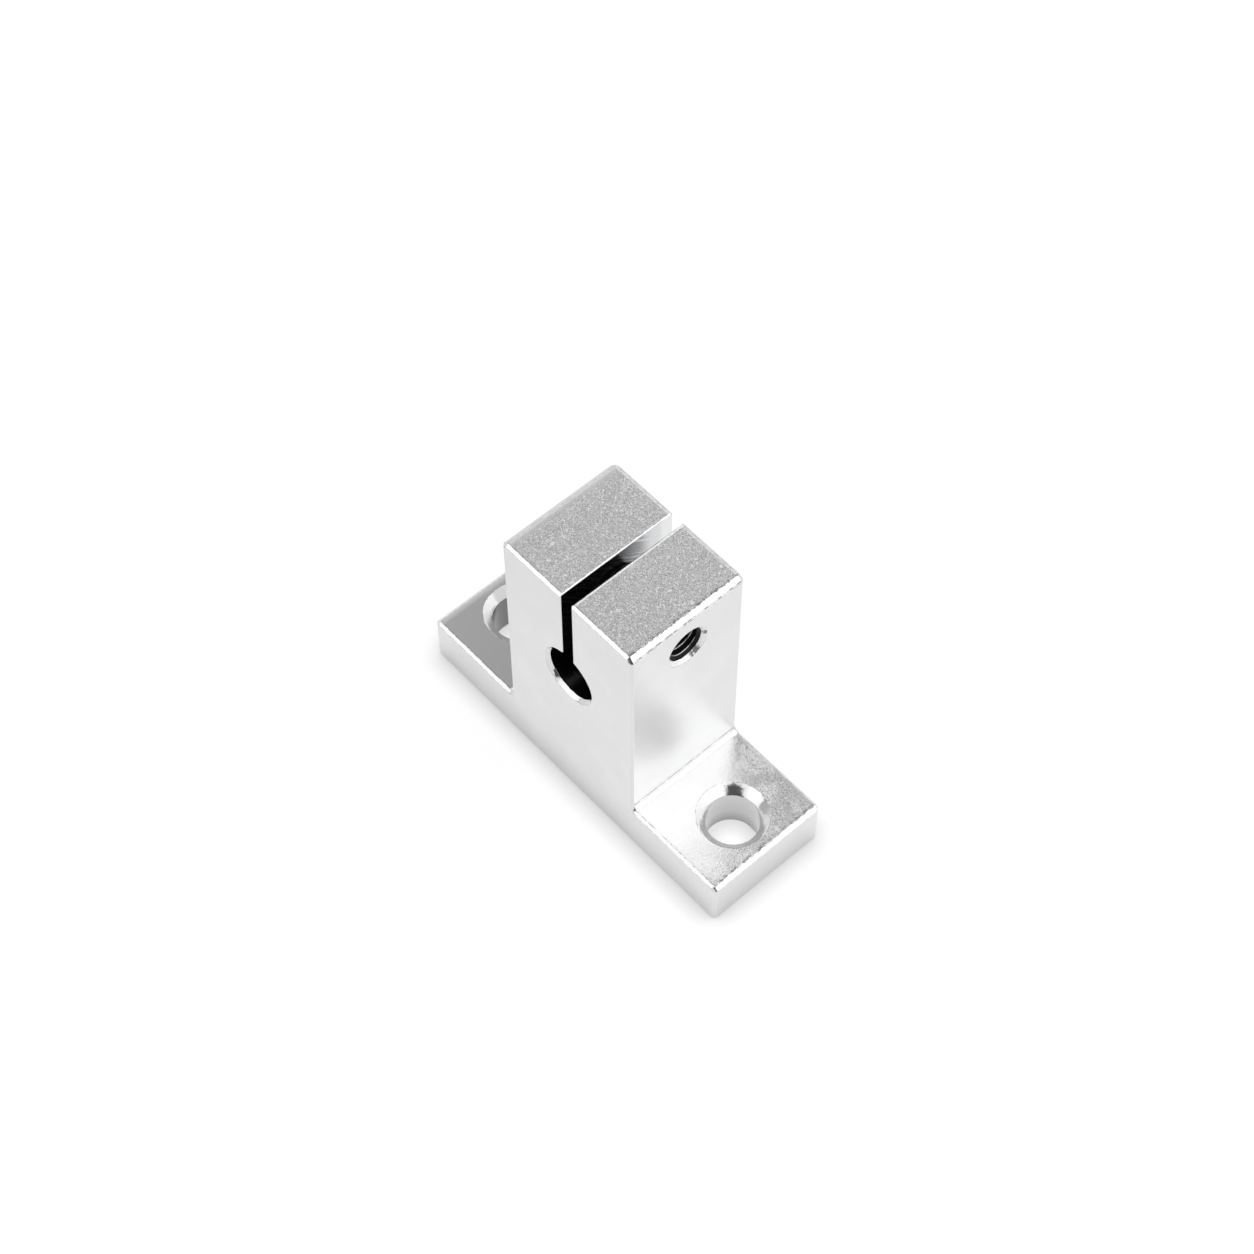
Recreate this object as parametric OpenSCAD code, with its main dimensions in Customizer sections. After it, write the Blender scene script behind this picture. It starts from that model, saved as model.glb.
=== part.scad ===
// Shaft support block: a one-piece aluminium block with a slit clamp for a round shaft, and the
// socket head screw that draws its two jaws together. Millimetres. X runs across the block, Y along
// the shaft and Z up, and the origin is the centre of the base.

/* [Block] */
// Width of the base across the shaft
block_width = 42; // [41:1:60]
// Length of the block along the shaft
block_length = 14; // [12:0.5:24]
// Thickness of the two base flanges
flange_thickness = 6; // [4:0.5:8]
// Width of the upright that holds the shaft
upright_width = 18; // [16:0.5:22]
// Radius of the concave foot where the upright meets a flange
foot_radius = 0.65; // [0.4:0.05:1.5]

/* [Shaft clamp] */
// Diameter of the bore for the shaft
bore_diameter = 6; // [3:0.5:9]
// Height of the shaft's centre line above the base
bore_height = 20; // [12:0.5:40]
// Height of the jaws above the shaft's centre line
jaw_rise = 12.8; // [11.4:0.1:20]
// Width of the slit between the jaws
slot_width = 1.5; // [1:0.1:2.5]

/* [Mounting holes] */
// Distance between the centres of the two mounting holes
mount_spacing = 32; // [28:0.5:33]
// Diameter of each mounting hole
mount_diameter = 5.5; // [3.4:0.1:6.6]
// Diameter of the countersink at the top of each mounting hole
countersink_diameter = 7.4; // [7:0.1:7.8]

/* [Clamp screw] */
// Distance from the top of the jaws down to the clamp screw's centre line
screw_drop = 4.6; // [4.4:0.1:5.6]
// Outer diameter of the clamp screw's thread
thread_diameter = 4; // [3:0.5:4.5]
// Length of the clamp screw under its head
screw_length = 10; // [8:1:12]
// Diameter of the screw's head
head_diameter = 7; // [5.5:0.1:7.2]
// Height of the screw's head
head_height = 4; // [3:0.1:4.5]
// Size of the hexagon socket across its flats
socket_size = 3; // [2:0.5:4]
// Depth of the hexagon socket
socket_depth = 2; // [1.5:0.1:2.5]

/* [Edges] */
// Chamfer along the outline of both end faces
end_chamfer = 0.3; // [0.1:0.05:0.5]
// Chamfer along the two outer top edges of the jaws
jaw_chamfer = 0.6; // [0.2:0.05:0.7]
// Chamfer along the top edge at the end of each flange
flange_chamfer = 0.45; // [0.2:0.05:0.8]
// Broken edge along the two sides of the base
base_break = 0.25; // [0.1:0.05:0.5]
// Chamfer at both mouths of the shaft's bore
bore_chamfer = 0.4; // [0.1:0.05:0.8]
// Broken edges of the slit
slot_break = 0.12; // [0.05:0.01:0.3]
// Chamfer at the mouths of the screw's holes, and under the mounting holes
mouth_chamfer = 0.4; // [0.1:0.05:0.5]
// Chamfer round the top of the screw's head
head_chamfer = 0.3; // [0.1:0.05:0.6]
// Chamfer at the tip of the screw
tip_chamfer = 0.5; // [0.2:0.1:0.8]

/* [Clearances] */
// Gap round the screw where it is threaded into the block
thread_clearance = 0.05; // [0.02:0.01:0.1]
// Gap round the screw where it passes through the plain jaw
shank_clearance = 0.25; // [0.1:0.05:0.4]
// Gap round the screw's head in its recess
head_clearance = 0.2; // [0.1:0.05:0.4]
// Depth of the screw's head below the face of the block
head_recess = 0.4; // [0.1:0.1:1]

/* [Hidden] */

$fn = 96;
// How far a cutting shape runs past the surface that it cuts
past = 0.2;

block_height = bore_height + jaw_rise;
screw_height = block_height - screw_drop;
half_width = block_width / 2;
half_length = block_length / 2;
half_upright = upright_width / 2;
half_slot = slot_width / 2;
bore_radius = bore_diameter / 2;
mount_radius = mount_diameter / 2;
head_radius = head_diameter / 2;

// The screw's head is sunk into the -X face, and its thread is in the +X jaw
recess_depth = head_height + head_recess;
seat_x = -half_upright + recess_depth;
recess_radius = head_radius + head_clearance;
tapped_radius = thread_diameter / 2;
shank_radius = tapped_radius - thread_clearance;
plain_radius = tapped_radius + shank_clearance;

// Outline of the end face as [x, z] points, anticlockwise: the right half, then the left
right_outline = [
    [half_width - base_break, 0],
    [half_width, base_break],
    [half_width, flange_thickness - flange_chamfer],
    [half_width - flange_chamfer, flange_thickness],
    [half_upright + foot_radius, flange_thickness],
    [half_upright, flange_thickness + foot_radius],
    [half_upright, block_height - jaw_chamfer],
    [half_upright - jaw_chamfer, block_height]
];
last = len(right_outline) - 1;
outline = concat(right_outline, [for (i = [last:-1:0]) [-right_outline[i].x, right_outline[i].y]]);
// The two edges of the outline that the concave foot arcs take the place of
foot_edges = [4, 10];

// A shape and its mirror image
module both(axis) {
    children();
    mirror(axis) children();
}

// Turns a shape drawn in X and Y, with Z up, into one drawn in X and Z that runs along Y
module along_y() {
    rotate([90, 0, 0]) children();
}

// Turns a shape that stands along Z into one that lies along +X
module along_x() {
    rotate([0, 90, 0]) children();
}

// Corner that is cut off at 45 degrees: the edge is at the origin and the solid is at +X and +Y
module corner_cut(size) {
    reach = size + past;
    polygon([[-past, -past], [reach, -past], [-past, reach]]);
}

// Cone that opens out at 45 degrees from a hole of this radius; its mouth is at z = 0
module countersink(radius, depth) {
    translate([0, 0, -depth])
        cylinder(r1 = radius, r2 = radius + depth + past, h = depth + past);
}

// Cuts the end chamfer along one straight edge of the outline, at the -Y end
module edge_cut(from, to) {
    run = to - from;
    translate([from.x, -half_length, from.y])
        rotate([0, -atan2(run.y, run.x), 0])
            rotate([90, 0, 90])
                linear_extrude(norm(run)) corner_cut(end_chamfer);
}

// Cuts the end chamfer round the concave foot at +X, at the -Y end
module foot_cut() {
    translate([half_upright + foot_radius, -half_length, flange_thickness + foot_radius])
        rotate([-90, 0, 0])
            rotate_extrude(angle = 90, start = 90)
                translate([foot_radius, 0]) corner_cut(end_chamfer);
}

// Outline of the end face with its two foot arcs
module end_face() {
    difference() {
        polygon(outline);
        both([1, 0])
            translate([half_upright + foot_radius, flange_thickness + foot_radius])
                circle(r = foot_radius);
    }
}

// The inverted T with chamfers round both end faces
module t_body() {
    difference() {
        translate([0, half_length, 0]) along_y() linear_extrude(block_length) end_face();
        both([0, 1, 0]) {
            for (i = [0:len(outline) - 1])
                if (len(search(i, foot_edges)) == 0)
                    edge_cut(outline[i], outline[(i + 1) % len(outline)]);
            both([1, 0, 0]) foot_cut();
        }
    }
}

// Bore for the shaft, with a chamfer at each mouth
module shaft_bore() {
    translate([0, 0, bore_height]) {
        translate([0, half_length + past, 0]) along_y()
            cylinder(r = bore_radius, h = block_length + 2 * past);
        both([0, 1, 0])
            translate([0, -half_length, 0]) along_y() countersink(bore_radius, bore_chamfer);
    }
}

// Slit from the bore up through the top of the jaws, with its edges broken
module slot() {
    reach = half_slot + slot_break + past;
    translate([0, half_length + past, 0]) along_y() linear_extrude(block_length + 2 * past)
        polygon([
            [-half_slot, bore_height], [half_slot, bore_height],
            [half_slot, block_height - slot_break], [reach, block_height + past],
            [-reach, block_height + past], [-half_slot, block_height - slot_break]
        ]);
    both([0, 1, 0]) translate([0, 0, bore_height]) linear_extrude(jaw_rise + past)
        polygon([
            [-reach, -half_length - past], [reach, -half_length - past],
            [half_slot, -half_length + slot_break], [-half_slot, -half_length + slot_break]
        ]);
}

// Mounting hole through a flange, with a countersink on top and a broken edge underneath
module mounting_hole() {
    translate([0, 0, -past]) cylinder(r = mount_radius, h = flange_thickness + 2 * past);
    translate([0, 0, flange_thickness]) countersink(mount_radius, countersink_diameter / 2 - mount_radius);
    mirror([0, 0, 1]) countersink(mount_radius, mouth_chamfer / 2);
}

// Holes for the clamp screw: head recess and plain hole in the -X jaw, tapped hole in the +X jaw
module clamp_holes() {
    translate([0, 0, screw_height]) {
        translate([-half_upright - past, 0, 0]) along_x() cylinder(r = recess_radius, h = recess_depth + past);
        translate([seat_x - past, 0, 0]) along_x() cylinder(r = plain_radius, h = past - seat_x);
        along_x() cylinder(r = tapped_radius, h = half_upright + past);
        translate([half_upright, 0, 0]) along_x() countersink(tapped_radius, mouth_chamfer);
    }
}

module block() {
    color("silver")
        difference() {
            t_body();
            shaft_bore();
            slot();
            both([1, 0, 0]) translate([mount_spacing / 2, 0, 0]) mounting_hole();
            clamp_holes();
        }
}

// Socket head screw along +X with its head on the seat in the -X jaw
module clamp_screw() {
    socket_radius = socket_size / 2 / cos(30);
    color("dimgray")
        translate([seat_x, 0, screw_height]) along_x()
            difference() {
                rotate_extrude()
                    polygon([
                        [0, -head_height], [head_radius - head_chamfer, -head_height],
                        [head_radius, head_chamfer - head_height], [head_radius, 0], [shank_radius, 0],
                        [shank_radius, screw_length - tip_chamfer],
                        [shank_radius - tip_chamfer, screw_length], [0, screw_length]
                    ]);
                translate([0, 0, -head_height - past])
                    cylinder(r = socket_radius, h = socket_depth + past, $fn = 6);
            }
}

block();
clamp_screw();
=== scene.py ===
import math

import bmesh
import bpy
from mathutils import Matrix, Vector


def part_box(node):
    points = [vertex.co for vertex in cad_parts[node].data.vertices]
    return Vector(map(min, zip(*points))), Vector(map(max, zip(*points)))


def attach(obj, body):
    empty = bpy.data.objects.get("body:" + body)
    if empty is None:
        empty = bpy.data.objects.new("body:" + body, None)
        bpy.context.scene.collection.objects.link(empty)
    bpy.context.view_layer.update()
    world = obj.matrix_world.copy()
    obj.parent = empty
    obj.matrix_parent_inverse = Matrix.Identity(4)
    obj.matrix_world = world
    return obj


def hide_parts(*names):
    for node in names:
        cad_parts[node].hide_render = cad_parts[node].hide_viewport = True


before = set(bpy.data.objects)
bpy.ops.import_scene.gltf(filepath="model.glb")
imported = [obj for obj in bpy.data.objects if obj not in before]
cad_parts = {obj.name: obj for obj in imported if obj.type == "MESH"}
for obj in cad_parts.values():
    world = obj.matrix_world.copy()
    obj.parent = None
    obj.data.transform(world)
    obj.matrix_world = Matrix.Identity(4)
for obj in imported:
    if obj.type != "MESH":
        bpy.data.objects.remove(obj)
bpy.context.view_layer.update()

MM = 0.001
BLOCK_LOW, BLOCK_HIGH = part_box("block")
SCREW_LOW, SCREW_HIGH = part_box("clamp_screw")

# Main places of the block, as the part's source has them
BORE_HEIGHT = 20.0 * MM
BORE_RADIUS = 3.0 * MM
SLOT_HALF = 0.75 * MM
SLOT_BREAK = 0.12 * MM
BLOCK_FACE = 9.0 * MM
SCREW_HEIGHT = 28.2 * MM
JAW_CHAMFER = 0.6 * MM
FLANGE_CHAMFER = 0.45 * MM
END_CHAMFER = 0.3 * MM
MOUTH_CHAMFER = 0.4 * MM
FOOT_RADIUS = 0.65 * MM
FLANGE_TOP = 6.0 * MM
MOUNT_PLACE = 16.0 * MM
MOUNT_RADIUS = 2.75 * MM

# How far past a border a place still counts as on it
TOUCH = 0.01 * MM
SNUG = 0.05 * MM
# Part of a face's normal along an axis: more than this where the face looks that way, and less than
# this where it runs along the axis instead
FACES_IT = 0.9
FACES_UP = 0.99
RUNS_ALONG = 0.3
RUNS_STRAIGHT_ALONG = 0.1
# The cone at the tapped hole's mouth: the part of its normal towards the right is between these, and
# it lies within this distance of the hole's axis
MOUTH_FACES = (0.5, 0.9)
MOUTH_REACH = 3.0 * MM

# Further break of the block's edges, on edges sharper than this many degrees
EDGE_BREAK = 0.06 * MM
EDGE_SEGMENTS = 3
EDGE_ANGLE = 25
# Before that, the CAD mesh's vertices this close are joined, and so are its faces this flat, in degrees
WELD = 0.001 * MM
FLAT_ANGLE = 0.2

# M4 coarse thread. The two shares are how much of each half pitch is flat, at the root and the crest.
# The liner is the skin that carries the thread inside the tapped hole.
PITCH = 0.7 * MM
THREAD_MAJOR = 2.0 * MM
THREAD_GROOVE = 1.99 * MM
THREAD_MINOR = 1.65 * MM
THREAD_ROOT_SHARE = 0.12
THREAD_CREST_SHARE = 0.22
THREAD_STEP = 0.05 * MM
THREAD_POINTS = 120
LINER_OUTER = 2.02 * MM
LINER_PAST_TIP = 0.1 * MM
LINER_WELD = 1e-5 * MM
# Edges sharper than this many degrees stay sharp
THREAD_SHARP = 50
SCREW_SHARP = 30

# Clamp screw. Depths are from the top of its head, and heights from the head's underside.
HEAD_RADIUS = 3.5 * MM
HEAD_HEIGHT = 4.0 * MM
HEAD_CHAMFER = 0.3 * MM
# Rounded rim of the head, from outside in: depth, and how far in from where the chamfer would end
RIM_OUTER = (0.03 * MM, 0.08 * MM)
RIM_INNER = (0.0, 0.25 * MM)
# Rim of the head's underside, from outside in: height, and how far in from the head's radius
UNDER_OUTER = (0.15 * MM, 0.03 * MM)
UNDER_INNER = (0.0, 0.2 * MM)
SOCKET_SIZE = 3.0 * MM
SOCKET_DEPTH = 2.0 * MM
SOCKET_TAPER = 0.02 * MM
SOCKET_CONE = 0.45 * MM
# Rounded mouth of the socket: its radius on the head's face, how much less that is at the depth that
# follows, and the depth at which the plain hexagon starts
SOCKET_MOUTH = 1.85 * MM
MOUTH_SHRINK = 0.1 * MM
MOUTH_DEPTH = 0.1 * MM
MOUTH_END = 0.18 * MM
KNURL_TEETH = 48
KNURL_DEPTH = 0.07 * MM
KNURL_RUN_IN = 0.12 * MM
KNURL_END = 0.35 * MM
SHANK_RADIUS = 1.95 * MM
PLAIN_SHANK = 0.5 * MM
SCREW_ROOT = 1.6 * MM
SCREW_POINTS = 192
TIP_CHAMFER = 0.5 * MM
# Rounding where the tip's chamfer ends: how far back it starts, and how much wider it is there
TIP_ROUND = (0.1 * MM, 0.08 * MM)

# Studio: levels are radiance, where 1 is white.
# Each patch is a direction, its inner and outer angle in degrees, and its level.
TENT = 1.0
SKY_PATCHES = (
    ((0.65, 0.42, 0.60), 15.0, 75.0, 1.4),
    ((-0.43, -0.83, 0.33), 20.0, 45.0, 1.35),
    ((-0.40, 0.348, 0.848), 0.0, 30.0, 0.1),
    ((0.69, -0.69, 0.21), 22.0, 32.0, 0.05),
)
# Dark gap at the horizon: the height of its middle, where it fades out to either side, and its level
HORIZON_GAP_MIDDLE = 0.015
HORIZON_GAP_FADE = (0.015, 0.03)
HORIZON_GAP_LEVEL = 0.15

# Table: its size, its colour to matt surfaces, its levels to the camera, and its levels to the metal,
# which fall off away from the block and rise to the right
TABLE_SIZE = 4.0
TABLE_DROP = 0.01 * MM
TABLE_COLOUR = (0.85, 0.85, 0.85, 1)
FLOOR_SHADOW = 0.35
CAMERA_FLOOR_LIFT = 0.7
METAL_FLOOR_RANGE = (22.0 * MM, 40.0 * MM)
METAL_FLOOR_LEVELS = (0.87, 0.8)
METAL_FLOOR_RIGHT_RANGE = (0.0, 20.0 * MM)
METAL_FLOOR_RIGHT_LEVELS = (1.0, 1.08)
# Shade close to the block: how far it reaches, and how dark it is
CONTACT_REACH = 2.6 * MM
CONTACT_SHADE = 0.78
CONTACT_SAMPLES = 8
# Inside the mounting holes: how much of the contact shade the camera keeps, and its level there
HOLE_CONTACT = 0.8
HOLE_FLOOR_LIFT = 0.95

# Camera: the photograph's viewing angle and framing
CAMERA_AZIMUTH = math.radians(48.22)
CAMERA_ELEVATION = math.radians(56.74)
CAMERA_ROLL = math.radians(-0.23)
CAMERA_DISTANCE = 0.28
CAMERA_AIM_RIGHT = 0.34 * MM
CAMERA_AIM_UP = 11.71 * MM
CAMERA_LENS_MM = 78.95
CAMERA_CLIP = 0.01


# ---------------------------------------------------------------- node helpers

def new_material(name):
    material = bpy.data.materials.new(name)
    material.use_nodes = True
    material.node_tree.nodes.clear()
    return material, material.node_tree


def add(tree, kind, **inputs):
    """A node of this kind, with inputs set or linked. Each is given by name, or as _ and its number."""
    node = tree.nodes.new(kind)
    for name, value in inputs.items():
        key = int(name[1:]) if name[0] == "_" and name[1:].isdigit() else name.replace("_", " ")
        if isinstance(value, bpy.types.NodeSocket):
            tree.links.new(value, node.inputs[key])
        else:
            node.inputs[key].default_value = value
    return node


def math_node(tree, operation, a, b=0.0, c=0.0, clamp=False):
    node = add(tree, "ShaderNodeMath", _0=a, _1=b, _2=c)
    node.operation = operation
    node.use_clamp = clamp
    return node.outputs[0]


def times(tree, a, b):
    return math_node(tree, "MULTIPLY", a, b)


def minus(tree, a, b, clamp=False):
    return math_node(tree, "SUBTRACT", a, b, clamp=clamp)


def larger(tree, a, b):
    return math_node(tree, "MAXIMUM", a, b)


def absolute(tree, a):
    return math_node(tree, "ABSOLUTE", a)


def above(tree, a, b):
    """1 where a is more than b, and 0 elsewhere."""
    return math_node(tree, "GREATER_THAN", a, b)


def below(tree, a, b):
    """1 where a is less than b, and 0 elsewhere."""
    return math_node(tree, "LESS_THAN", a, b)


def between(tree, share, low, high):
    """low where the share is 0 and high where it is 1. Both are numbers or sockets."""
    return add(tree, "ShaderNodeMix", _0=share, _2=low, _3=high).outputs[0]


def from_to(tree, share, low, high):
    """low where the share is 0 and high where it is 1. Both are numbers."""
    return math_node(tree, "MULTIPLY_ADD", share, high - low, low)


def blend(tree, share, first, second, way="MIX"):
    """The first colour where the share is 0 and the second where it is 1."""
    node = add(tree, "ShaderNodeMixRGB", Fac=share, Color1=first, Color2=second)
    node.blend_type = way
    return node.outputs[0]


def map_range(tree, value, source, target):
    return add(tree, "ShaderNodeMapRange", Value=value, From_Min=source[0], From_Max=source[1],
               To_Min=target[0], To_Max=target[1]).outputs[0]


def smooth_step(tree, value, start, end):
    """0 at start and 1 at end, with soft ends. start may be the larger."""
    node = add(tree, "ShaderNodeMapRange", Value=value, From_Min=start, From_Max=end)
    node.interpolation_type = "SMOOTHSTEP"
    return node.outputs[0]


def ramp(tree, factor, *stops):
    """Colour ramp from (position, grey level or colour) stops."""
    node = add(tree, "ShaderNodeValToRGB", Fac=factor)
    elements = node.color_ramp.elements
    while len(elements) < len(stops):
        elements.new(0.5)
    for element, (position, colour) in zip(elements, stops):
        element.position = position
        element.color = (colour,) * 3 + (1,) if isinstance(colour, (int, float)) else tuple(colour) + (1,)
    return node.outputs["Color"]


def object_place(tree):
    return add(tree, "ShaderNodeTexCoord").outputs["Object"]


def parts_of(tree, vector):
    """The X, Y and Z of a vector."""
    return add(tree, "ShaderNodeSeparateXYZ", Vector=vector).outputs


def distance(tree, across, up):
    """Distance from an axis, from the two distances across it."""
    return math_node(tree, "SQRT", math_node(tree, "MULTIPLY_ADD", across, across, times(tree, up, up)))


def noise(tree, place, scale, detail=1.0):
    return add(tree, "ShaderNodeTexNoise", Vector=place, Scale=scale, Detail=detail).outputs["Fac"]


def speckles(tree, place, scale, start, end):
    """1 in the spots of a noise of this scale, and 0 between them."""
    return smooth_step(tree, noise(tree, place, scale), start, end)


def line_noise(tree, along, scale, **inputs):
    """Noise that changes along one number alone."""
    place = add(tree, "ShaderNodeCombineXYZ", X=times(tree, along, scale)).outputs[0]
    return add(tree, "ShaderNodeTexNoise", Scale=1.0, Detail=3.0, Vector=place, **inputs).outputs["Fac"]


def bumped(tree, height, reach, strength=1.0):
    return add(tree, "ShaderNodeBump", Height=height, Strength=strength, Distance=reach).outputs[0]


def warped(tree, place, scale, amount):
    """This place, pushed about by a noise of this scale."""
    warp = add(tree, "ShaderNodeTexNoise", Vector=place, Scale=scale, Detail=1.0)
    return blend(tree, amount, place, warp.outputs["Color"], "ADD")


def ridges(tree, place, scale, narrow):
    """1 along thin meandering lines and 0 away from them."""
    away = absolute(tree, minus(tree, noise(tree, place, scale, 0.0), 0.5))
    return minus(tree, 1.0, times(tree, away, narrow), clamp=True)


def metal(tree, colour, metallic, roughness, **inputs):
    """Ends a material with a surface of this colour. metallic is the share of bare metal."""
    shader = add(tree, "ShaderNodeBsdfPrincipled", Base_Color=colour, Metallic=metallic,
                 Roughness=roughness, **inputs)
    add(tree, "ShaderNodeOutputMaterial", Surface=shader.outputs[0])


# ---------------------------------------------------------------- blasted aluminium

# Share of bare metal on the upright faces and on the top ones, and the roughness of each face
METALLIC = 0.92
TOP_METALLIC = 0.78
FRONT_ROUGHNESS = 0.27
SIDE_ROUGHNESS = 0.29
JAW_ROUGHNESS = 0.24
CALM_ROUGHNESS = 0.29
FLANGE_ROUGHNESS = 0.2

# Cloudy tones of the bare metal, and the colour where it is worn
CLOUD_SCALE = 260.0
CLOUD_TONES = ((0.3, (0.885, 0.89, 0.885)), (0.7, (0.915, 0.92, 0.915)))
WORN_COLOUR = (0.3, 0.305, 0.3, 1)

# Blasted grain: worms as a bump, and its share on the jaws
GRAIN_SCALE = 5200.0
GRAIN_NARROW = 7.0
GRAIN_WARP = (2900.0, 0.25 * MM)
GRAIN_HEIGHT = 0.0088 * MM
JAW_GRAIN = 0.55

# Etched pits between the worms: noise and the tones it gives
ETCH_SCALE = 6500.0
ETCH_RANGE = (0.35, 0.65)
ETCH_TONES = (0.79, 1.05)

# Bright curls: contour lines of a noise, broken up by another, and how matt they are
CURL_SCALE = 1000.0
CURL_LEVELS = 9.0
CURL_WARP = (1900.0, 0.2 * MM)
CURL_LINE = (0.2, 0.02)
CURL_BREAK_SCALE = 3000.0
CURL_BREAK = (0.4, 0.56)
CURL_DULL = 0.44

# Share of the grain on the flanges: everywhere, and what is added between the patches and in them
FLANGE_LEAST_GRAIN = 0.12
FLANGE_PATCH_GRAIN = (0.45, 0.95)
PATCHES = (420.0, 0.42, 0.62)
# Etching on the right flange: where it starts, the run over which its border slants, and its share
FLANGE_ETCHED = (10.5 * MM, 8.5 * MM, 0.65)
# How soft that border is, as shares of the run
ETCHED_BORDER = (0.05, 0.4)

# Wear along the rims: how wide it is at the right and in front, and in front its share between and in
# the blots
RIM_WEAR_WIDE = 0.45 * MM
RIM_WEAR_THIN = 0.16 * MM
THIN_WEAR = (0.25, 0.65)
BLOT_SCALE = 2600.0
BLOT_EDGES = (0.48, 0.56)
# Calm strip along the left rim, where the grain fades: where it ends, how ragged it is, and the share
# of the grain that is left in it
CALM_RIM = (0.6 * MM, 1.6 * MM)
CALM_RAGGED = 0.8 * MM
CALM_GRAIN = 0.35

# Rims of the top faces that are rounded over and matt: where that starts and is full, and how matt
BACK_RIM = (0.34 * MM, 0.16 * MM, 0.38)
OUTER_RIM = (0.4 * MM, 0.15 * MM, 0.3)
SLOT_RIM = (0.24 * MM, 0.16 * MM, 0.75)
OUTER_FLANGE = (0.8 * MM, 0.05 * MM, 0.28)
FLANGE_BACK_SHARE = 0.3


def blasted_grain(tree, place):
    """Height of the fine worm-like grain that blasting and etching leave."""
    return ridges(tree, warped(tree, place, *GRAIN_WARP), GRAIN_SCALE, GRAIN_NARROW)


def etched_tone(tree, place):
    """Tone of the pits that etching leaves between the worms."""
    return map_range(tree, noise(tree, place, ETCH_SCALE, 0.0), ETCH_RANGE, ETCH_TONES)


def curls(tree, place):
    """Short bright curls in the grain, nested like the contour lines of a map."""
    hills = noise(tree, warped(tree, place, *CURL_WARP), CURL_SCALE)
    level = math_node(tree, "FRACT", times(tree, hills, CURL_LEVELS))
    lines = smooth_step(tree, absolute(tree, minus(tree, level, 0.5)), *CURL_LINE)
    return times(tree, lines, smooth_step(tree, noise(tree, place, CURL_BREAK_SCALE, 0.0), *CURL_BREAK))


def aluminium_shader(tree, place, strength, wear, roughness, etched=None, matt=0.0):
    """Blasted aluminium with this share of its grain, darker where worn and paler where matt.

    Where etched is given, it is the share of the pits and curls, and the metal is a top face's.
    """
    colour = ramp(tree, noise(tree, place, CLOUD_SCALE, 2.0), *CLOUD_TONES)
    metallic = METALLIC
    if etched is not None:
        colour = blend(tree, etched, colour, etched_tone(tree, place), "MULTIPLY")
        dull = times(tree, times(tree, curls(tree, place), CURL_DULL), etched)
        metallic = minus(tree, TOP_METALLIC, larger(tree, dull, matt), clamp=True)
    metal(tree, blend(tree, wear, colour, WORN_COLOUR), metallic, roughness,
          Normal=bumped(tree, blasted_grain(tree, place), GRAIN_HEIGHT, strength))


def aluminium_material():
    """Upright faces: the sides of the upright are duller than its front and back."""
    material, tree = new_material("aluminium")
    coordinates = add(tree, "ShaderNodeTexCoord")
    facing = parts_of(tree, coordinates.outputs["Normal"])["X"]
    side = above(tree, absolute(tree, facing), 0.5)
    aluminium_shader(tree, coordinates.outputs["Object"], JAW_GRAIN, 0.0,
                     from_to(tree, side, FRONT_ROUGHNESS, SIDE_ROUGHNESS))
    return material


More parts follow.
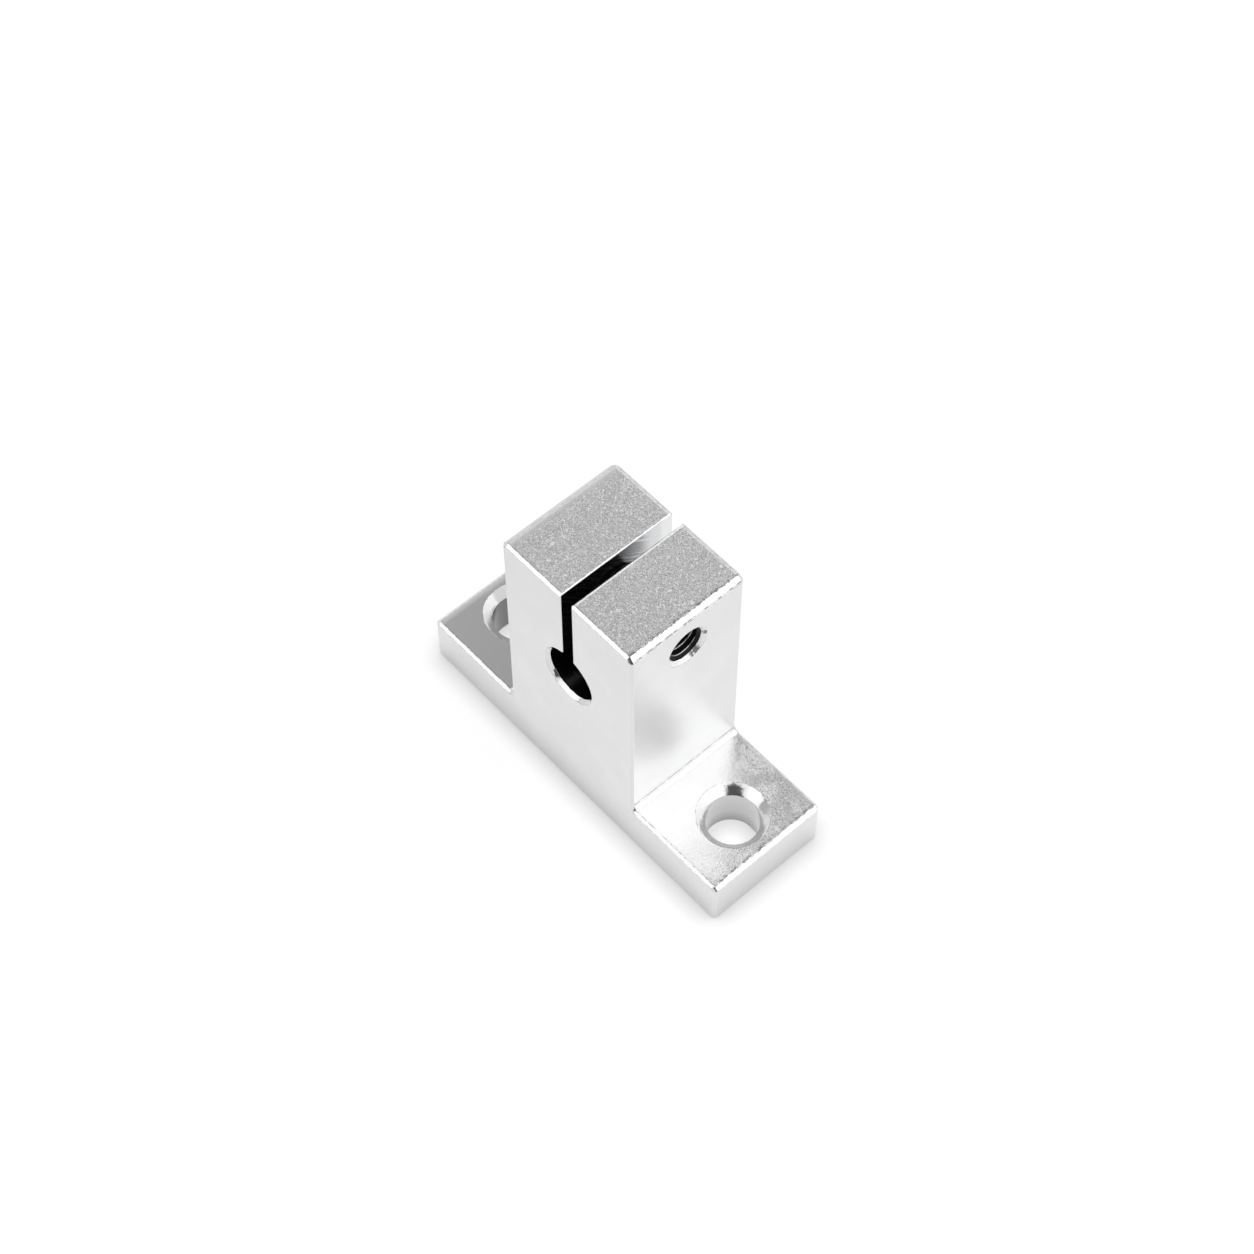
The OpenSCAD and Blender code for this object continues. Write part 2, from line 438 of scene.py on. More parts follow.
def top_material():
    """Top faces: the grain is full on the jaws and patchy on the flanges, and the rims are worn or matt."""
    material, tree = new_material("aluminium_top")
    place = object_place(tree)
    x, y, z = parts_of(tree, place)
    on_jaw = above(tree, z, BORE_HEIGHT)

    # Distances in from the right, left, front and back borders of the face, and from the slot
    rim = between(tree, on_jaw, BLOCK_HIGH[0] - FLANGE_CHAMFER, BLOCK_FACE - JAW_CHAMFER)
    right_gap = minus(tree, rim, x)
    left_gap = math_node(tree, "ADD", rim, x)
    front_gap = math_node(tree, "ADD", BLOCK_HIGH[1] - END_CHAMFER, y)
    back_gap = minus(tree, BLOCK_HIGH[1] - END_CHAMFER, y)
    slot_gap = minus(tree, x, SLOT_HALF + SLOT_BREAK)

    # Calm strip at the left, where both the grain and the etching fade
    blots = noise(tree, place, BLOT_SCALE, 2.0)
    calm = smooth_step(tree, math_node(tree, "MULTIPLY_ADD", blots, CALM_RAGGED, left_gap), *CALM_RIM)
    calm_share = from_to(tree, calm, CALM_GRAIN, 1.0)

    patches = speckles(tree, place, *PATCHES)
    flange_grain = math_node(tree, "MULTIPLY_ADD", smooth_step(tree, x, 0.0, BLOCK_FACE),
                             from_to(tree, patches, *FLANGE_PATCH_GRAIN), FLANGE_LEAST_GRAIN)
    strength = times(tree, between(tree, on_jaw, flange_grain, JAW_GRAIN), calm_share)
    roughness = between(tree, on_jaw, FLANGE_ROUGHNESS, from_to(tree, calm, CALM_ROUGHNESS, JAW_ROUGHNESS))

    start, run, share = FLANGE_ETCHED
    outward = math_node(tree, "DIVIDE", minus(tree, x, start), run)
    slant = math_node(tree, "DIVIDE", minus(tree, y, BLOCK_HIGH[1]), BLOCK_HIGH[1] - BLOCK_LOW[1])
    outward = math_node(tree, "ADD", outward, slant)
    flange_etched = times(tree, smooth_step(tree, outward, *ETCHED_BORDER), share)
    etched = between(tree, on_jaw, flange_etched, calm_share)

    blot = smooth_step(tree, blots, *BLOT_EDGES)
    wide_wear = times(tree, smooth_step(tree, right_gap, RIM_WEAR_WIDE, 0.0), blot)
    thin_wear = times(tree, smooth_step(tree, front_gap, RIM_WEAR_THIN, 0.0),
                      from_to(tree, blot, *THIN_WEAR))

    right_jaw = times(tree, on_jaw, above(tree, x, 0.0))
    matt = 0.0
    for gap, (start, end, amount), where in (
            (back_gap, BACK_RIM, from_to(tree, on_jaw, FLANGE_BACK_SHARE, 1.0)),
            (left_gap, OUTER_RIM, 1.0),
            (slot_gap, SLOT_RIM, right_jaw),
            (left_gap, OUTER_FLANGE, minus(tree, 1.0, on_jaw))):
        rim_matt = times(tree, smooth_step(tree, gap, start, end), amount)
        matt = larger(tree, matt, times(tree, rim_matt, where))
    aluminium_shader(tree, place, strength, larger(tree, wide_wear, thin_wear), roughness, etched, matt)
    return material


# ---------------------------------------------------------------- machined aluminium

# Chamfers and countersinks, with faint tool marks
MACHINED_COLOUR = (0.82, 0.825, 0.82, 1)
MACHINED_METALLIC = 0.95
MACHINED_ROUGHNESS = 0.12
TOOL_MARKS = (2400.0, 0.018 * MM)
# Burrs along the chamfers of the top edges: how far down each one starts and ends. Below the jaws'
# chamfer is a duller strip, with dashes in it.
BURR_COLOUR = (0.22, 0.22, 0.22, 1)
STRIP_COLOUR = (0.6, 0.605, 0.6, 1)
UPPER_BURR = (0.1 * MM, 0.04 * MM)
UPPER_DOTS = (3800.0, 0.48, 0.6)
FRONT_BURR = 0.2
LOWER_STRIP = (0.44 * MM, 0.47 * MM)
LOWER_DASHES_END = (0.55 * MM, 0.52 * MM)
LOWER_DASHES = (1400.0, 0.48, 0.55)
# Countersinks, which are satin but for their far side: the way from the hole that is near, where along
# it the satin starts and is full, and how matt it is
SINK_NEAR = (0.75, 0.66)
SINK_SATIN = (-2.4 * MM, -1.2 * MM, 0.45)
SINK_DEPTH = 1.0 * MM

# Mouth of the tapped hole. Its painted dark reflections are (y, z) and radius.
DEBURRED_COLOUR = (0.96, 0.965, 0.96, 1)
DEBURRED_METALLIC = 0.3
DEBURRED_ROUGHNESS = 0.35
DARK_REFLECTION_COLOUR = (0.2, 0.2, 0.2, 1)
TAP_REFLECTIONS = (((1.1 * MM, 26.1 * MM), 0.85 * MM), ((2.25 * MM, 28.3 * MM), 0.4 * MM))
REFLECTION_BREAK = (3000.0, 0.32, 0.52)

# Walls of the mounting holes: the x between them where one colour gives way to the other, the left one's
# colour, which is painted shade, and the tones of the right one up its height, painted shade that darkens
# towards the bottom
HOLE_SIDES = (-1.0 * MM, 1.0 * MM)
LEFT_HOLE_SHADE_COLOUR = (0.2, 0.2, 0.2, 1)
RIGHT_HOLE_SHADE_TONES = ((0.0, 0.3), (0.35, 0.56), (0.8, 0.66))
DRILLED_METALLIC = 0.9
DRILLED_ROUGHNESS = 0.22

# Concave foot, and the dotted line at its borders
FOOT_COLOUR = (0.9, 0.905, 0.9, 1)
FOOT_METALLIC = 0.92
FOOT_ROUGHNESS = 0.2
FOOT_LINE = 0.02 * MM
FOOT_LINE_COLOUR = (0.25, 0.25, 0.25, 1)
FOOT_DOTS = (1500.0, 0.35, 0.55)

# Slot walls: the saw's centre as (y, z), its arcs, and along the slot where their painted shade ends and
# where it is full. The shade is a dark colour painted over the slot's front, where the slot lies in shade.
SAWN_COLOUR = (0.92, 0.925, 0.93, 1)
SAWN_ROUGHNESS = 0.18
SAW_CENTRE = (25.0 * MM, 60.0 * MM)
SAW_ARCS = 2600.0
SAW_ARC_NOISE = 0.6
SAW_ARC_HEIGHT = 0.04 * MM
SAW_SHADE_COLOUR = (0.42, 0.42, 0.425, 1)
SAW_UNSHADED = 4.4 * MM
SAW_SHADED = 2.4 * MM
SAW_SCRATCH = (0.5, 0.57)
SAW_SCRATCH_SHARE = 0.75

# Reamed bore, painted dark as shade
BORE_SHADE_COLOUR = (0.05, 0.05, 0.052, 1)
BORE_ROUGHNESS = 0.3
BORE_RINGS = 3400.0
BORE_RING_HEIGHT = 0.05 * MM
BORE_RING_STRENGTH = 0.6

# Hairlines along the machined edges, and the dotted burr on those that look up
EDGE_COLOUR = (0.88, 0.885, 0.88, 1)
EDGE_BURR_COLOUR = (0.2, 0.2, 0.2, 1)
EDGE_ROUGHNESS = 0.15
EDGE_TILT = (0.05, 0.25)
EDGE_DOTS = (2000.0, 0.56, 0.44)

# Cut thread: painted shade in the groove and bright on the crest, which reaches this far out
THREAD_SHADE_COLOUR = (0.012, 0.012, 0.012, 1)
THREAD_CREST_COLOUR = (0.8, 0.8, 0.8, 1)
THREAD_CREST_REACH = 0.06 * MM
THREAD_ROUGHNESS = 0.22
THREAD_SPECULAR = 0.1

# Black oxide of the screw: stains, and the colours and roughnesses that they give
STAIN_SCALE = 900.0
OXIDE_COLOURS = ((0.35, (0.022, 0.022, 0.025)), (0.7, (0.05, 0.048, 0.048)))
OXIDE_ROUGHNESSES = ((0.3, 0.3), (0.7, 0.45))
OXIDE_METALLIC = 0.9


def machined_material():
    """Chamfers and countersinks, cut after the blasting: smooth, with faint tool marks and dotted burrs."""
    material, tree = new_material("machined_chamfer")
    place = object_place(tree)
    x, y, z = parts_of(tree, place)
    on_jaw = above(tree, z, BORE_HEIGHT)
    drop = minus(tree, between(tree, on_jaw, FLANGE_TOP, BLOCK_HIGH[2]), z)

    # The chamfers that have burrs: in front, at the right of the jaws and at the right end
    front = below(tree, y, END_CHAMFER - BLOCK_HIGH[1])
    right_jaw = times(tree, above(tree, x, BLOCK_FACE - JAW_CHAMFER - TOUCH), on_jaw)
    right_jaw = times(tree, right_jaw, below(tree, drop, JAW_CHAMFER + 2 * TOUCH))
    right_end = above(tree, x, BLOCK_HIGH[0] - FLANGE_CHAMFER - TOUCH)
    rims = larger(tree, times(tree, front, FRONT_BURR), larger(tree, right_jaw, right_end))
    rims = times(tree, rims, above(tree, drop, -2 * TOUCH))

    upper = times(tree, smooth_step(tree, drop, *UPPER_BURR),
                  times(tree, speckles(tree, place, *UPPER_DOTS), rims))
    strip = times(tree, smooth_step(tree, drop, *LOWER_STRIP), right_jaw)
    lower = times(tree, times(tree, strip, smooth_step(tree, drop, *LOWER_DASHES_END)),
                  speckles(tree, place, *LOWER_DASHES))
    colour = blend(tree, strip, MACHINED_COLOUR, STRIP_COLOUR)
    colour = blend(tree, larger(tree, upper, lower), colour, BURR_COLOUR)

    from_hole = minus(tree, absolute(tree, x), MOUNT_PLACE)
    near = minus(tree, times(tree, from_hole, SINK_NEAR[0]), times(tree, y, SINK_NEAR[1]))
    in_sink = times(tree, below(tree, z, FLANGE_TOP + TOUCH), above(tree, z, FLANGE_TOP - SINK_DEPTH))
    in_sink = times(tree, in_sink, minus(tree, 1.0, rims, clamp=True))
    start, end, amount = SINK_SATIN
    satin = times(tree, in_sink, smooth_step(tree, near, start, end))
    metallic = from_to(tree, satin, MACHINED_METALLIC, MACHINED_METALLIC - amount)
    metal(tree, colour, metallic, MACHINED_ROUGHNESS,
          Normal=bumped(tree, noise(tree, place, TOOL_MARKS[0], 2.0), TOOL_MARKS[1]))
    return material


def spot(tree, place, centre, radius):
    """1 within a round spot on the X side and 0 outside it. The centre is (y, z)."""
    flat = add(tree, "ShaderNodeVectorMath", _0=place, _1=(0.0, 1.0, 1.0))
    flat.operation = "MULTIPLY"
    gap = add(tree, "ShaderNodeVectorMath", _0=flat.outputs[0], _1=(0.0,) + centre)
    gap.operation = "DISTANCE"
    return smooth_step(tree, gap.outputs["Value"], radius, radius * 0.5)


def deburred_material():
    """Mouth of the tapped hole, deburred by hand: matt, with two painted dark reflections."""
    material, tree = new_material("deburred_mouth")
    place = object_place(tree)
    painted_reflections = 0.0
    # Painted reflections: two dark spots standing in for reflections of the studio
    for centre, radius in TAP_REFLECTIONS:
        painted_reflections = larger(tree, painted_reflections, spot(tree, place, centre, radius))
    painted_reflections = times(tree, painted_reflections, speckles(tree, place, *REFLECTION_BREAK))
    metal(tree, blend(tree, painted_reflections, DEBURRED_COLOUR, DARK_REFLECTION_COLOUR), DEBURRED_METALLIC, DEBURRED_ROUGHNESS)
    return material


def drilled_material():
    """Walls of the mounting holes, as the drill left them, with painted shade: the left one is dark all
    over, and the right one darker towards the bottom.
    """
    material, tree = new_material("drilled_hole")
    x, _, z = parts_of(tree, object_place(tree))
    # Painted shade: the right wall darker towards the bottom, and the left wall dark
    right_hole_shade = ramp(tree, math_node(tree, "DIVIDE", z, FLANGE_TOP), *RIGHT_HOLE_SHADE_TONES)
    colour = blend(tree, smooth_step(tree, x, *HOLE_SIDES), LEFT_HOLE_SHADE_COLOUR, right_hole_shade)
    metal(tree, colour, DRILLED_METALLIC, DRILLED_ROUGHNESS)
    return material


def foot_material():
    """Concave foot: the milling cutter's corner left a dotted line at each border of it."""
    material, tree = new_material("milled_foot")
    place = object_place(tree)
    x, _, z = parts_of(tree, place)
    out = minus(tree, absolute(tree, x), BLOCK_FACE)
    up = minus(tree, z, FLANGE_TOP)
    border = smooth_step(tree, math_node(tree, "MINIMUM", out, up), FOOT_LINE, 0.0)
    line = times(tree, border, speckles(tree, place, *FOOT_DOTS))
    metal(tree, blend(tree, line, FOOT_COLOUR, FOOT_LINE_COLOUR), FOOT_METALLIC, FOOT_ROUGHNESS)
    return material


def sawn_material():
    """Slot walls: the arcs of a slitting saw about a far centre, with painted shade, a dark colour, but for
    the far end.
    """
    material, tree = new_material("sawn_aluminium")
    _, y, z = parts_of(tree, object_place(tree))
    radius = distance(tree, minus(tree, y, SAW_CENTRE[0]), minus(tree, z, SAW_CENTRE[1]))
    arcs = line_noise(tree, radius, SAW_ARCS, Roughness=SAW_ARC_NOISE)
    scratched = from_to(tree, smooth_step(tree, arcs, *SAW_SCRATCH), 1.0, 1.0 - SAW_SCRATCH_SHARE)
    # Painted shade: darker towards the slot's front, broken up along the saw's arcs
    slot_shade = times(tree, smooth_step(tree, y, SAW_UNSHADED, SAW_SHADED), scratched)
    metal(tree, blend(tree, slot_shade, SAWN_COLOUR, SAW_SHADE_COLOUR), 1.0, SAWN_ROUGHNESS,
          Normal=bumped(tree, arcs, SAW_ARC_HEIGHT))
    return material


def bore_material():
    """Reamed bore, painted dark as shade, with fine rings round its axis."""
    material, tree = new_material("reamed_bore")
    _, y, _ = parts_of(tree, object_place(tree))
    # Painted shade: the dark colour stands in for the shade inside the bore
    metal(tree, BORE_SHADE_COLOUR, 1.0, BORE_ROUGHNESS,
          Normal=bumped(tree, line_noise(tree, y, BORE_RINGS), BORE_RING_HEIGHT, BORE_RING_STRENGTH))
    return material


def edge_material():
    """The hairline along each machined edge. Top edges have a dotted dark burr."""
    material, tree = new_material("machined_edge")
    coordinates = add(tree, "ShaderNodeTexCoord")
    tilt = parts_of(tree, coordinates.outputs["Normal"])["Z"]
    dark = times(tree, smooth_step(tree, tilt, *EDGE_TILT),
                 speckles(tree, coordinates.outputs["Object"], *EDGE_DOTS))
    metal(tree, blend(tree, dark, EDGE_COLOUR, EDGE_BURR_COLOUR), 1.0, EDGE_ROUGHNESS)
    return material


def thread_material():
    """Cut thread: bright on the crests, with painted shade between them."""
    material, tree = new_material("cut_thread")
    _, y, z = parts_of(tree, object_place(tree))
    radius = distance(tree, y, minus(tree, z, SCREW_HEIGHT))
    # Painted shade: the groove is near black, standing in for the shade in the hole
    crest = smooth_step(tree, radius, THREAD_MINOR + THREAD_CREST_REACH, THREAD_MINOR)
    metal(tree, blend(tree, crest, THREAD_SHADE_COLOUR, THREAD_CREST_COLOUR), crest, THREAD_ROUGHNESS,
          Specular_IOR_Level=THREAD_SPECULAR)
    return material


def screw_material():
    """Clamp screw: black oxide with faint stains."""
    material, tree = new_material("black_oxide")
    stain = noise(tree, object_place(tree), STAIN_SCALE, 3.0)
    metal(tree, ramp(tree, stain, *OXIDE_COLOURS), OXIDE_METALLIC, ramp(tree, stain, *OXIDE_ROUGHNESSES))
    return material


# ---------------------------------------------------------------- studio

def floor_material():
    """White table. It keeps the object's shadow, and the camera and metal see it as white."""
    material, tree = new_material("floor")
    path = add(tree, "ShaderNodeLightPath").outputs
    camera = path["Is Camera Ray"]
    seen = math_node(tree, "ADD", camera, path["Is Glossy Ray"])
    seen = math_node(tree, "ADD", seen, path["Is Transmission Ray"], clamp=True)
    place = object_place(tree)
    x, y, _ = parts_of(tree, place)

    # Shade close to the block, less of it in the mounting holes
    under = times(tree, below(tree, absolute(tree, x), MOUNT_PLACE + MOUNT_RADIUS),
                  below(tree, absolute(tree, y), MOUNT_RADIUS))
    contact = add(tree, "ShaderNodeAmbientOcclusion", Distance=CONTACT_REACH)
    contact.samples = CONTACT_SAMPLES
    shade = from_to(tree, contact.outputs["AO"], 1.0 - CONTACT_SHADE, 1.0)
    unshaded = times(tree, under, minus(tree, 1.0, times(tree, camera, HOLE_CONTACT)))
    shade = between(tree, unshaded, shade, 1.0)

    # Level that the metal and the camera see
    away = add(tree, "ShaderNodeVectorMath", _0=place)
    away.operation = "LENGTH"
    metal_level = times(tree, map_range(tree, away.outputs["Value"], METAL_FLOOR_RANGE, METAL_FLOOR_LEVELS),
                        map_range(tree, x, METAL_FLOOR_RIGHT_RANGE, METAL_FLOOR_RIGHT_LEVELS))
    camera_level = between(tree, under, CAMERA_FLOOR_LIFT, HOLE_FLOOR_LIFT)
    level = between(tree, camera, metal_level, camera_level)
    glow = add(tree, "ShaderNodeEmission", Color=(1, 1, 1, 1), Strength=times(tree, level, shade))
    shadow = add(tree, "ShaderNodeBsdfDiffuse",
                 Color=blend(tree, camera, (0, 0, 0, 1), (FLOOR_SHADOW,) * 3 + (1,)))
    lit = add(tree, "ShaderNodeAddShader", _0=shadow.outputs[0], _1=glow.outputs[0])
    table = add(tree, "ShaderNodeBsdfDiffuse", Color=TABLE_COLOUR)
    both = add(tree, "ShaderNodeMixShader", Fac=seen, _1=table.outputs[0], _2=lit.outputs[0])
    add(tree, "ShaderNodeOutputMaterial", Surface=both.outputs[0])
    return material


def sky_patch(tree, direction, colour, centre, inner, outer, level):
    """Blends a round patch of this level into the colour, soft from its inner to its outer angle."""
    cosine = add(tree, "ShaderNodeVectorMath", _0=direction, _1=tuple(Vector(centre).normalized()))
    cosine.operation = "DOT_PRODUCT"
    angle = math_node(tree, "ARCCOSINE", cosine.outputs["Value"])
    share = smooth_step(tree, angle, math.radians(outer), math.radians(inner))
    return blend(tree, share, colour, (level, level, level, 1))


def build_world():
    """A white tent: brightest at the right, a dark panel overhead and a dark gap at the horizon."""
    world = bpy.data.worlds.new("studio")
    bpy.context.scene.world = world
    world.use_nodes = True
    tree = world.node_tree
    tree.nodes.clear()
    direction = add(tree, "ShaderNodeTexCoord").outputs["Generated"]
    sky = (TENT, TENT, TENT, 1)
    for patch in SKY_PATCHES:
        sky = sky_patch(tree, direction, sky, *patch)
    height = parts_of(tree, direction)["Z"]
    gap = map_range(tree, absolute(tree, minus(tree, height, HORIZON_GAP_MIDDLE)), HORIZON_GAP_FADE,
                    (HORIZON_GAP_LEVEL, 1.0))
    sky = blend(tree, 1.0, sky, gap, "MULTIPLY")
    camera = add(tree, "ShaderNodeLightPath").outputs["Is Camera Ray"]
    background = add(tree, "ShaderNodeBackground",
                     Color=blend(tree, camera, sky, (1, 1, 1, 1)), Strength=1.0)
    add(tree, "ShaderNodeOutputWorld", Surface=background.outputs[0])


def build_floor():
    mesh = bpy.data.meshes.new("floor")
    half = TABLE_SIZE / 2
    corners = [(-half, -half, 0), (half, -half, 0), (half, half, 0), (-half, half, 0)]
    mesh.from_pydata(corners, [], [(0, 1, 2, 3)])
    mesh.materials.append(floor_material())
    floor = bpy.data.objects.new("floor", mesh)
    floor.location.z = -TABLE_DROP
    bpy.context.scene.collection.objects.link(floor)


def build_camera():
    back = Vector((math.sin(CAMERA_AZIMUTH) * math.cos(CAMERA_ELEVATION),
                   -math.cos(CAMERA_AZIMUTH) * math.cos(CAMERA_ELEVATION),
                   math.sin(CAMERA_ELEVATION)))
    level = Vector((0, 0, 1)).cross(back).normalized()
    right = Matrix.Rotation(CAMERA_ROLL, 3, back) @ level
    up = back.cross(right)
    camera = bpy.data.objects.new("camera", bpy.data.cameras.new("camera"))
    camera.data.lens = CAMERA_LENS_MM
    camera.data.clip_start = CAMERA_CLIP
    place = right * CAMERA_AIM_RIGHT + up * CAMERA_AIM_UP + back * CAMERA_DISTANCE
    camera.matrix_world = Matrix.Translation(place) @ Matrix((right, up, back)).transposed().to_4x4()
    bpy.context.scene.collection.objects.link(camera)
    bpy.context.scene.camera = camera


# ---------------------------------------------------------------- block

def block_finish(centre, normal):
    """Which of the block's materials a face gets, by where it is. The first that fits counts."""
    x, y, z = centre
    from_screw = math.hypot(y, z - SCREW_HEIGHT)
    along_x, along_y, along_z = (abs(part) for part in normal)
    if math.hypot(x, z - BORE_HEIGHT) < BORE_RADIUS + SNUG and along_y < RUNS_ALONG:
        return "bore"
    if abs(abs(x) - SLOT_HALF) < 2 * TOUCH and z > BORE_HEIGHT and along_x > FACES_IT:
        return "sawn"
    if x > SLOT_HALF and from_screw < THREAD_MAJOR + SNUG and along_x < RUNS_ALONG:
        return "thread"
    on_cone = MOUTH_FACES[0] < normal.x < MOUTH_FACES[1]
    if x > BLOCK_FACE - MOUTH_CHAMFER and on_cone and from_screw < MOUTH_REACH:
        return "deburred"
    if math.hypot(abs(x) - MOUNT_PLACE, y) < MOUNT_RADIUS + SNUG and along_z < RUNS_ALONG:
        return "drilled"
    if normal.z > FACES_UP:
        return "top"
    if (along_y < RUNS_STRAIGHT_ALONG and abs(x) < BLOCK_FACE + FOOT_RADIUS
            and z < FLANGE_TOP + FOOT_RADIUS):
        return "foot" if normal.z > 0.0 and abs(x) > BLOCK_FACE - TOUCH else "aluminium"
    if max(along_x, along_y, along_z) < FACES_IT:
        return "machined"
    return "aluminium"


def build_block(materials):
    """The block with its edges slightly broken, so that they catch the light."""
    names = list(materials)
    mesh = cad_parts["block"].data.copy()
    mesh.materials.clear()
    for name in names:
        mesh.materials.append(materials[name])
    shape = bmesh.new()
    shape.from_mesh(mesh)
    bmesh.ops.remove_doubles(shape, verts=shape.verts, dist=WELD)
    bmesh.ops.dissolve_limit(shape, angle_limit=math.radians(FLAT_ANGLE),
                             verts=shape.verts, edges=shape.edges)
    shape.normal_update()
    for face in shape.faces:
        face.smooth = True
        face.material_index = names.index(block_finish(face.calc_center_median(), face.normal))
    shape.to_mesh(mesh)
    shape.free()
    block = bpy.data.objects.new("block_body", mesh)
    bpy.context.scene.collection.objects.link(block)
    bevel = block.modifiers.new("edges", "BEVEL")
    bevel.width = EDGE_BREAK
    bevel.segments = EDGE_SEGMENTS
    bevel.limit_method = "ANGLE"
    bevel.angle_limit = math.radians(EDGE_ANGLE)
    bevel.harden_normals = True
    bevel.material = names.index("edge")
    weighted = block.modifiers.new("flat_faces_stay_flat", "WEIGHTED_NORMAL")
    weighted.mode = "FACE_AREA"
    weighted.weight = 100
    weighted.keep_sharp = True
    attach(block, "support")
    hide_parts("block")


# ---------------------------------------------------------------- threads and screw

def skin(name, rings, material, sharp):
    """Closed mesh through rings of equally many points. The first and the last may be one point.

    Edges sharper than this many degrees stay sharp.
    """
    points, starts = [], []
    for ring in rings:
        starts.append(len(points))
        points.extend(ring)
    faces = []
    for (low, start), (high, after) in zip(zip(rings, starts), zip(rings[1:], starts[1:])):
        count = max(len(low), len(high))
        for i in range(count):
            j = (i + 1) % count
            a, b = start + i % len(low), start + j % len(low)
            c, d = after + j % len(high), after + i % len(high)
            faces.append([v for k, v in enumerate((a, b, c, d)) if v not in (a, b, c, d)[:k]])
    mesh = bpy.data.meshes.new(name)
    mesh.from_pydata(points, [], faces)
    mesh.materials.append(material)
    mesh.validate()
    mesh.shade_smooth()
    mesh.set_sharp_from_angle(angle=math.radians(sharp))
    piece = bpy.data.objects.new(name, mesh)
    bpy.context.scene.collection.objects.link(piece)
    return piece


def thread_depth(x, angle, lead_in):
    """How far the thread stands up at this place, from 0 in the groove to 1 on the crest."""
    turn = (x / PITCH - angle / math.tau + lead_in) % 1.0
    rise = abs(2.0 * turn - 1.0)
    return min(1.0, max(0.0, (rise - THREAD_ROOT_SHARE) / (1.0 - THREAD_ROOT_SHARE - THREAD_CREST_SHARE)))


def around_screw(x, radius_at, count):
    """Ring of points about the screw's axis. radius_at gives the radius at an angle."""
    ring = []
    for i in range(count):
        angle = math.tau * i / count
        radius = radius_at(angle)
        ring.append((x, radius * math.cos(angle), SCREW_HEIGHT + radius * math.sin(angle)))
    return ring


def stations(start, end):
    """Places along the thread, one step apart, with both ends."""
    steps = round((end - start) / THREAD_STEP)
    return [start + (end - start) * k / steps for k in range(steps + 1)]


def build_tapped_thread(material):
    """The thread's ridges inside the tapped hole, from the screw's tip to the hole's mouth."""
    start, end = SCREW_HIGH[0] + LINER_PAST_TIP, BLOCK_FACE - MOUTH_CHAMFER

    def outside(x):
        return around_screw(x, lambda angle: LINER_OUTER, THREAD_POINTS)

    def inside(x):
        countersunk = THREAD_MAJOR - (end - x)

        def radius(angle):
            crest = THREAD_GROOVE + (THREAD_MINOR - THREAD_GROOVE) * thread_depth(x, angle, 0.0)
            return min(THREAD_GROOVE, max(crest, countersunk))
        return around_screw(x, radius, THREAD_POINTS)

    rings = [outside(start)] + [inside(x) for x in stations(start, end)] + [outside(end), outside(start)]
    piece = skin("clamp_thread", rings, material, THREAD_SHARP)
    shape = bmesh.new()
    shape.from_mesh(piece.data)
    bmesh.ops.remove_doubles(shape, verts=shape.verts, dist=LINER_WELD)
    bmesh.ops.recalc_face_normals(shape, faces=shape.faces)
    shape.to_mesh(piece.data)
    shape.free()
    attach(piece, "support")


def hexagon(angle, across_flats):
    """Radius of a hexagon at this angle, with the middle of a side at angle zero."""
    return across_flats / 2 / math.cos((angle + math.pi / 6) % (math.pi / 3) - math.pi / 6)


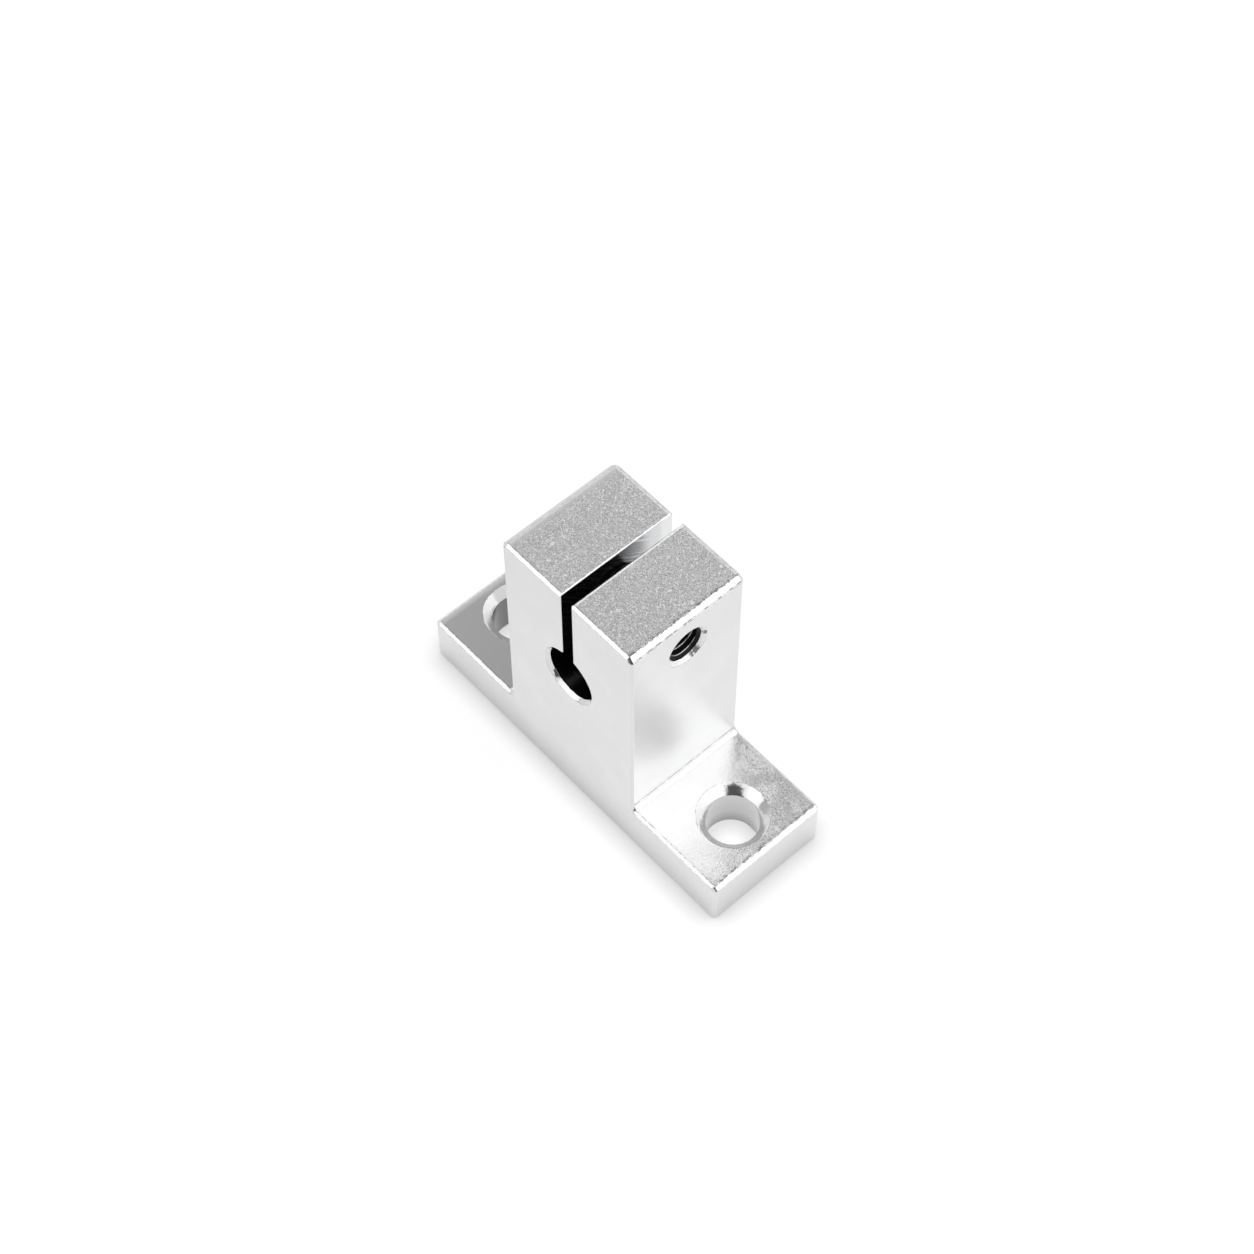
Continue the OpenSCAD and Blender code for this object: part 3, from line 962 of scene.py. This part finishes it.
def build_screw(material):
    """Socket head screw with a knurled head, a hexagon socket and a cut thread."""
    outer = SCREW_LOW[0]
    seat = outer + HEAD_HEIGHT
    tip = SCREW_HIGH[0]
    end = tip - TIP_CHAMFER
    face_radius = HEAD_RADIUS - HEAD_CHAMFER
    tip_radius = SHANK_RADIUS - TIP_CHAMFER

    def ring(x, radius_at):
        return around_screw(x, radius_at, SCREW_POINTS)

    def disc(x, radius):
        return ring(x, lambda angle: radius)

    def knurled(x, depth):
        return ring(x, lambda angle: HEAD_RADIUS - depth * (0.5 - 0.5 * math.cos(KNURL_TEETH * angle)))

    def threaded(x):
        fade = min(1.0, max(0.0, (x - seat - PLAIN_SHANK) / PITCH))
        groove = fade * (SHANK_RADIUS - SCREW_ROOT)
        return ring(x, lambda angle: SHANK_RADIUS - groove * (1.0 - thread_depth(x, angle, 0.5)))

    rings = [
        # Socket, from its floor out to its rounded mouth
        [(outer + SOCKET_DEPTH + SOCKET_CONE, 0.0, SCREW_HEIGHT)],
        ring(outer + SOCKET_DEPTH, lambda angle: hexagon(angle, SOCKET_SIZE - SOCKET_TAPER)),
        ring(outer + MOUTH_END, lambda angle: hexagon(angle, SOCKET_SIZE)),
        ring(outer + MOUTH_DEPTH,
             lambda angle: max(hexagon(angle, SOCKET_SIZE), SOCKET_MOUTH - MOUTH_SHRINK)),
        disc(outer, SOCKET_MOUTH),
        # Head, from its rim down to its underside
        disc(outer + RIM_INNER[0], face_radius - RIM_INNER[1]),
        disc(outer + RIM_OUTER[0], face_radius - RIM_OUTER[1]),
        knurled(outer + HEAD_CHAMFER, 0.0),
        knurled(outer + HEAD_CHAMFER + KNURL_RUN_IN, KNURL_DEPTH),
        knurled(seat - KNURL_END, KNURL_DEPTH),
        disc(seat - UNDER_OUTER[0], HEAD_RADIUS - UNDER_OUTER[1]),
        disc(seat - UNDER_INNER[0], HEAD_RADIUS - UNDER_INNER[1]),
    ]
    # Shank, from the head's underside to its tip
    rings += [threaded(x) for x in stations(seat, end)]
    rings += [disc(tip - TIP_ROUND[0], tip_radius + TIP_ROUND[1]), disc(tip, tip_radius),
              [(tip, 0.0, SCREW_HEIGHT)]]
    piece = skin("socket_screw", rings, material, SCREW_SHARP)
    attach(piece, "screw")
    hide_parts("clamp_screw")


build_camera()
build_world()
build_floor()
thread_cut = thread_material()
build_block({"aluminium": aluminium_material(), "top": top_material(), "foot": foot_material(),
             "machined": machined_material(), "drilled": drilled_material(),
             "deburred": deburred_material(), "bore": bore_material(), "sawn": sawn_material(),
             "thread": thread_cut, "edge": edge_material()})
build_tapped_thread(thread_cut)
build_screw(screw_material())

scene = bpy.context.scene
scene.view_settings.view_transform = "Standard"
